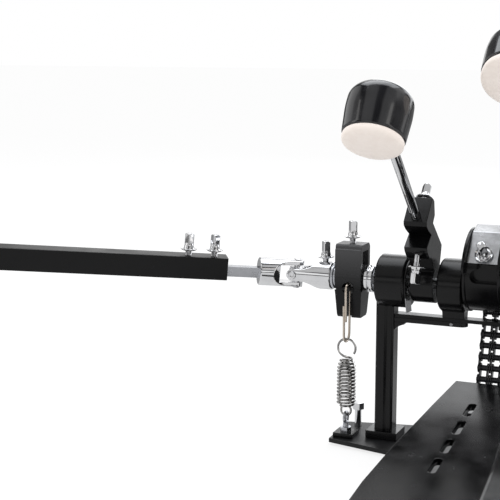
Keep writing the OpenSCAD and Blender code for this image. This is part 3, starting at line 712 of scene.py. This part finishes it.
def stud_thread(name, x, y, low, high, radius, body, slot):
    """A rolled thread over a plain stud."""
    def groove(r, a, z):
        return r + 0.16 - 0.3 * abs(2 * thread_phase(a, z) - 1)

    steps = int((high - low) / (THREAD_PITCH / THREAD_RINGS))
    profile = [(radius, low + (high - low) * i / steps) for i in range(steps + 1)]
    bm = bmesh.new()
    lathe(bm, profile, move(x, y, 0), 28, groove)
    add_piece(name, bm, slot, body, crease=80)


def make_threads():
    nut_top = box_mm("spring_brackets")[1].z + 4
    for side in ("left", "right"):
        x, y = ROCKER_X[side], centre_mm(f"{side}_link_ring").y
        stud_thread(f"{side}_stud_thread", x, y, nut_top + 0.1, nut_top + 4, STUD_R, "frame", "bright_steel")
    foot = box_mm("clamp_wing_screw")[0].z
    x, y = WING_SCREW_AT
    stud_thread("wing_screw_thread", x, y, foot + 1, foot + 12, WING_SCREW_R, "clamp_screw", "chrome")


# ---------- the other nodes keep their CAD shape, with rounded edges ----------

# Width of the rounding of each node's sharp edges, in millimetres
EDGE = {
    "base_plate": 0.8, "grip_strips": 0.4, "left_post": 0.5, "right_post": 0.5, "crossbar": 0.35,
    "centre_housing": 0.4, "frame_screws": 0.15, "axle_bearings": 0.3, "bearing_caps": 0.25,
    "hinge_pins": 0.4, "heel_plate": 0.8, "spring_brackets": 0.5, "spring_adjusters": 0.0,
    "clamp_bracket": 0.6, "floor_spurs": 0.2, "clamp_jaw": 0.8, "jaw_pads": 0.4, "clamp_wing_screw": 0.3,
    "left_axle": 0.4, "axle_yoke": 0.5, "axle_washers": 0.25, "left_rocker": 0.5, "left_rocker_pin": 0.3,
    "left_collar": 0.3, "left_beater_hub": 0.6, "left_beater_rod": 0.0, "ujoint_cross": 0.3,
    "shaft_yoke": 0.5, "shaft_bar": 0.5, "shaft_tube": 0.9, "tube_yoke": 0.5, "far_cross": 0.3,
    "slave_yoke": 0.5, "right_axle": 0.4, "cam_wheel": 0.4, "cam_plate": 0.2, "chain_wrap": 0.12,
    "chain_link_upper": 0.12, "chain_link_lower": 0.12, "chain_run": 0.12, "right_rocker": 0.5,
    "right_rocker_pin": 0.3, "right_collar": 0.3, "right_beater_hub": 0.6, "right_beater_rod": 0.0,
    "footboard": 1.0, "toe_clevis": 0.4,
}

# ---------- stage, light and camera ----------

FLOOR_HALF = 12
FLOOR_SEEN = (0.78, 0.78, 0.78, 1)
SKY_SEEN = (1, 1, 1, 1)
# Brightness of the mirrored floor, from one metre in front of the axle (0) to one metre behind it (1)
MIRRORED_FLOOR = ((0.0, 0.42), (0.5, 0.4), (0.62, 0.3), (0.72, 0.03), (1.0, 0.02))
# Brightness of the mirrored studio, from the front horizon (0) over the top to the rear horizon (1)
STUDIO = (
    (0.0, 0.03), (0.022, 0.04), (0.034, 0.95), (0.1, 0.9), (0.11, 0.06), (0.135, 0.1), (0.16, 0.5),
    (0.3, 0.55), (0.46, 0.42), (0.52, 0.5), (0.55, 0.95), (0.975, 0.95), (1.0, 0.4),
)
# What is left of it from far left (0) to far right (1)
SCREENS = (
    (0.0, 0.8), (0.12, 0.8), (0.14, 0.1), (0.22, 0.1), (0.25, 1.0), (0.5, 1.0), (0.54, 0.08), (0.68, 0.08),
    (0.72, 1.0), (0.9, 1.0), (0.93, 0.2), (1.0, 0.2),
)


def grey_ramp(tree, value, stops):
    """A ramp of greys over a value from 0 to 1."""
    ramp = tree.nodes.new("ShaderNodeValToRGB")
    tree.links.new(value, ramp.inputs["Fac"])
    elements = ramp.color_ramp.elements
    elements[0].position, elements[0].color = stops[0][0], (stops[0][1],) * 3 + (1,)
    elements[1].position, elements[1].color = stops[-1][0], (stops[-1][1],) * 3 + (1,)
    for position, grey in stops[1:-1]:
        elements.new(position).color = (grey, grey, grey, 1)
    return ramp.outputs["Color"]


def arithmetic(tree, operation, first, second):
    """A maths node whose second input is a link or a number."""
    made = tree.nodes.new("ShaderNodeMath")
    made.operation = operation
    tree.links.new(first, made.inputs[0])
    if isinstance(second, (int, float)):
        made.inputs[1].default_value = second
    else:
        tree.links.new(second, made.inputs[1])
    return made.outputs["Value"]


def mirror_mix(tree, plain, mirrored):
    """One colour for what is seen or lit directly, and a linked one for what is mirrored."""
    mix = tree.nodes.new("ShaderNodeMix")
    mix.data_type = "RGBA"
    tree.links.new(tree.nodes.new("ShaderNodeLightPath").outputs["Is Glossy Ray"], mix.inputs["Factor"])
    mix.inputs["A"].default_value = plain
    tree.links.new(mirrored, mix.inputs["B"])
    return mix.outputs["Result"]


def pale_floor():
    """Glows pale to the eye, and darker the further back it is in mirrors."""
    paint = bpy.data.materials.new("pale_floor")
    paint.use_nodes = True
    shader = paint.node_tree.nodes["Principled BSDF"]
    shader.inputs["Base Color"].default_value = (0.2, 0.2, 0.2, 1)
    shader.inputs["Roughness"].default_value = 0.9
    shader.inputs["Specular IOR Level"].default_value = 0.0
    shader.inputs["Emission Strength"].default_value = 1.0
    tree = paint.node_tree
    split = tree.nodes.new("ShaderNodeSeparateXYZ")
    tree.links.new(tree.nodes.new("ShaderNodeTexCoord").outputs["Object"], split.inputs["Vector"])
    depth = arithmetic(tree, "ADD", arithmetic(tree, "MULTIPLY", split.outputs["Y"], 0.5), 0.5)
    seen = mirror_mix(tree, FLOOR_SEEN, grey_ramp(tree, depth, MIRRORED_FLOOR))
    tree.links.new(seen, shader.inputs["Emission Color"])
    return paint


def make_stage():
    bm = bmesh.new()
    bmesh.ops.create_grid(bm, x_segments=1, y_segments=1, size=FLOOR_HALF)
    mesh = bpy.data.meshes.new("floor")
    bm.to_mesh(mesh)
    bm.free()
    mesh.materials.append(pale_floor())
    floor = bpy.data.objects.new("floor", mesh)
    bpy.context.scene.collection.objects.link(floor)


def softbox(name, place, aim, size, power, colour):
    """A rectangular lamp turned towards a point."""
    lamp = bpy.data.lights.new(name, "AREA")
    lamp.shape = "RECTANGLE"
    lamp.size, lamp.size_y = size
    lamp.energy = power
    lamp.color = colour
    obj = bpy.data.objects.new(name, lamp)
    obj.location = place
    obj.rotation_euler = (Vector(aim) - Vector(place)).to_track_quat("-Z", "Y").to_euler()
    bpy.context.scene.collection.objects.link(obj)


def make_lights():
    aim = (-0.1, 0, 0.15)
    softbox("top_box", (-0.2, 0.35, 1.5), aim, (1.8, 1.1), 15, (0.93, 0.96, 1.0))
    softbox("left_box", (-1.5, -0.9, 0.9), aim, (0.5, 1.3), 2.6, (1.0, 0.99, 0.97))
    softbox("right_box", (1.5, -0.7, 0.8), aim, (0.5, 1.3), 2.6, (1.0, 0.98, 0.95))
    softbox("back_box", (0.3, 1.9, 0.9), aim, (2.4, 1.0), 10, (0.95, 0.97, 1.0))


def make_world():
    """White to the eye; mirrors see a strip light low in front, a grey ceiling and a white wall behind."""
    world = bpy.data.worlds.new("studio")
    bpy.context.scene.world = world
    world.use_nodes = True
    tree = world.node_tree
    background = tree.nodes["Background"]
    split = tree.nodes.new("ShaderNodeSeparateXYZ")
    tree.links.new(tree.nodes.new("ShaderNodeTexCoord").outputs["Generated"], split.inputs["Vector"])
    ahead = arithmetic(tree, "MULTIPLY", split.outputs["Y"], -1)
    over = arithmetic(tree, "DIVIDE", arithmetic(tree, "ARCTAN2", split.outputs["Z"], ahead), math.pi)
    across = arithmetic(tree, "MULTIPLY", arithmetic(tree, "ADD", split.outputs["X"], 1), 0.5)
    room = tree.nodes.new("ShaderNodeMix")
    room.data_type = "RGBA"
    room.blend_type = "MULTIPLY"
    room.inputs["Factor"].default_value = 1
    tree.links.new(grey_ramp(tree, over, STUDIO), room.inputs["A"])
    tree.links.new(grey_ramp(tree, across, SCREENS), room.inputs["B"])
    tree.links.new(mirror_mix(tree, SKY_SEEN, room.outputs["Result"]), background.inputs["Color"])
    background.inputs["Strength"].default_value = 1.0


def make_camera():
    camera = bpy.data.objects.new("camera", bpy.data.cameras.new("camera"))
    camera.data.lens = 93.6
    camera.data.sensor_width = 36
    camera.location = (0.2386, -1.0548, 0.3529)
    camera.rotation_euler = (math.radians(90 - 9.4), 0, math.radians(23.5))
    bpy.context.scene.collection.objects.link(camera)
    bpy.context.scene.camera = camera


def make_object():
    make_key_bolts()
    make_pin_heads()
    make_threads()
    for side in ("left", "right"):
        link_ring(side)
        spring(side)
        beater_head(side)
        beater_felt(side)
    for node, edge in EDGE.items():
        finish_node(node, edge)


bpy.context.scene.view_settings.view_transform = "Standard"
make_camera()
make_world()
make_lights()
make_stage()
make_object()
